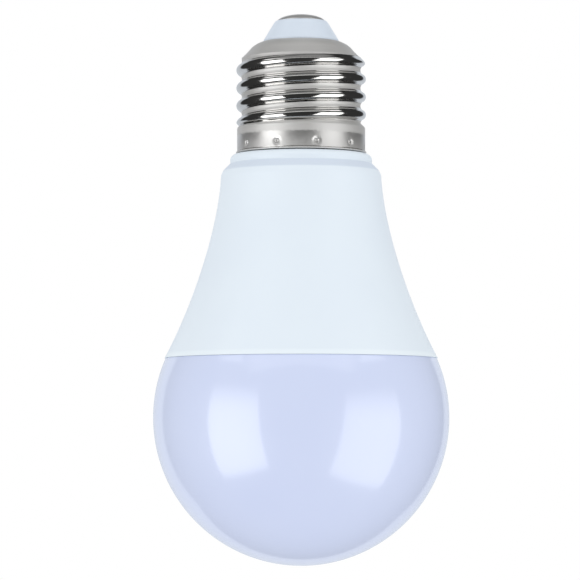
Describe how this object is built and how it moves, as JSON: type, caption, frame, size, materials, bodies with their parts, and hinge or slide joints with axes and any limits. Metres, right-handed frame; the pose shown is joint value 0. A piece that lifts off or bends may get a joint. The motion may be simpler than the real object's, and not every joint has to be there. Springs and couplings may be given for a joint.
{
  "type": "smart light bulb",
  "caption": "Smart LED lamp with a standard screw cap, flared plastic housing, opal globe, colour and white LEDs on a round board, and a driver with a wireless module.",
  "frame": {"origin": "centre of the flat tip of the centre contact, at the top of the screw cap; the lamp hangs below it, cap up", "axes": "+Z along the lamp's axis, out of the cap; -Y is the front, +X to the right seen from the front"},
  "size_m": [0.0598, 0.0598, 0.1116],
  "materials": {
    "nickel_cap": "bright nickel plate on brass, satin on the dome and skirt",
    "insulator_plastic": "moulded, semi-gloss, cool white",
    "housing_plastic": "fine satin moulding, cool white",
    "opal_globe": "glossy opal diffuser, bluish white",
    "sink_aluminium": "spun, faint turning marks",
    "silicone_bead": "cured white silicone",
    "solder_mask": "white solder mask on aluminium",
    "thermal_pad": "grey gap pad",
    "driver_laminate": "green solder mask on laminate",
    "wifi_laminate": "blue solder mask on laminate",
    "led_warm": "orange phosphor in a white package",
    "led_cool": "yellow phosphor in a white package",
    "led_rgb": "clear window in a white package",
    "chip_plastic": "black moulding compound",
    "can_sleeve": "dark blue shrink sleeve",
    "ferrite": "ground dark ferrite",
    "winding_tape": "yellow polyester tape",
    "film_case": "yellow epoxy-filled case",
    "resistor_coating": "blue flameproof coating",
    "heat_shrink": "black heat-shrink tube",
    "zinc_steel": "zinc-plated or tinned steel",
    "connector_nylon": "natural nylon",
    "wire_red": "red insulation",
    "wire_black": "black insulation"
  },
  "bodies": {
    "root": {"contact_eyelet": "nickel_cap", "cap_insulator": "insulator_plastic", "screw_shell": "nickel_cap", "housing": "housing_plastic", "heat_sink_cup": "sink_aluminium", "globe_diffuser": "opal_globe", "globe_adhesive": "silicone_bead", "led_board": "solder_mask", "thermal_pad": "thermal_pad", "board_screw_1": "zinc_steel", "board_screw_2": "zinc_steel", "board_screw_3": "zinc_steel", "led_connector": "connector_nylon", "led_driver_chip_1": "chip_plastic", "led_driver_chip_2": "chip_plastic", "driver_board": "driver_laminate", "bulk_capacitor": "can_sleeve", "output_capacitor": "can_sleeve", "transformer_core": "ferrite", "transformer_winding": "winding_tape", "bridge_rectifier": "chip_plastic", "driver_chip": "chip_plastic", "emi_capacitor": "film_case", "emi_choke": "ferrite", "fusible_resistor": "resistor_coating", "resistor_sleeve": "heat_shrink", "pin_header": "chip_plastic", "wifi_board": "wifi_laminate", "wifi_shield": "zinc_steel", "live_wire": "wire_red", "neutral_wire": "wire_black", "warm_led_1": "led_warm", "warm_led_2": "led_warm", "warm_led_3": "led_warm", "warm_led_4": "led_warm", "warm_led_5": "led_warm", "warm_led_6": "led_warm", "cool_led_1": "led_cool", "cool_led_2": "led_cool", "cool_led_3": "led_cool", "cool_led_4": "led_cool", "cool_led_5": "led_cool", "cool_led_6": "led_cool", "rgb_led_1": "led_rgb", "rgb_led_2": "led_rgb", "rgb_led_3": "led_rgb", "rgb_led_4": "led_rgb"}
  },
  "joints": []
}
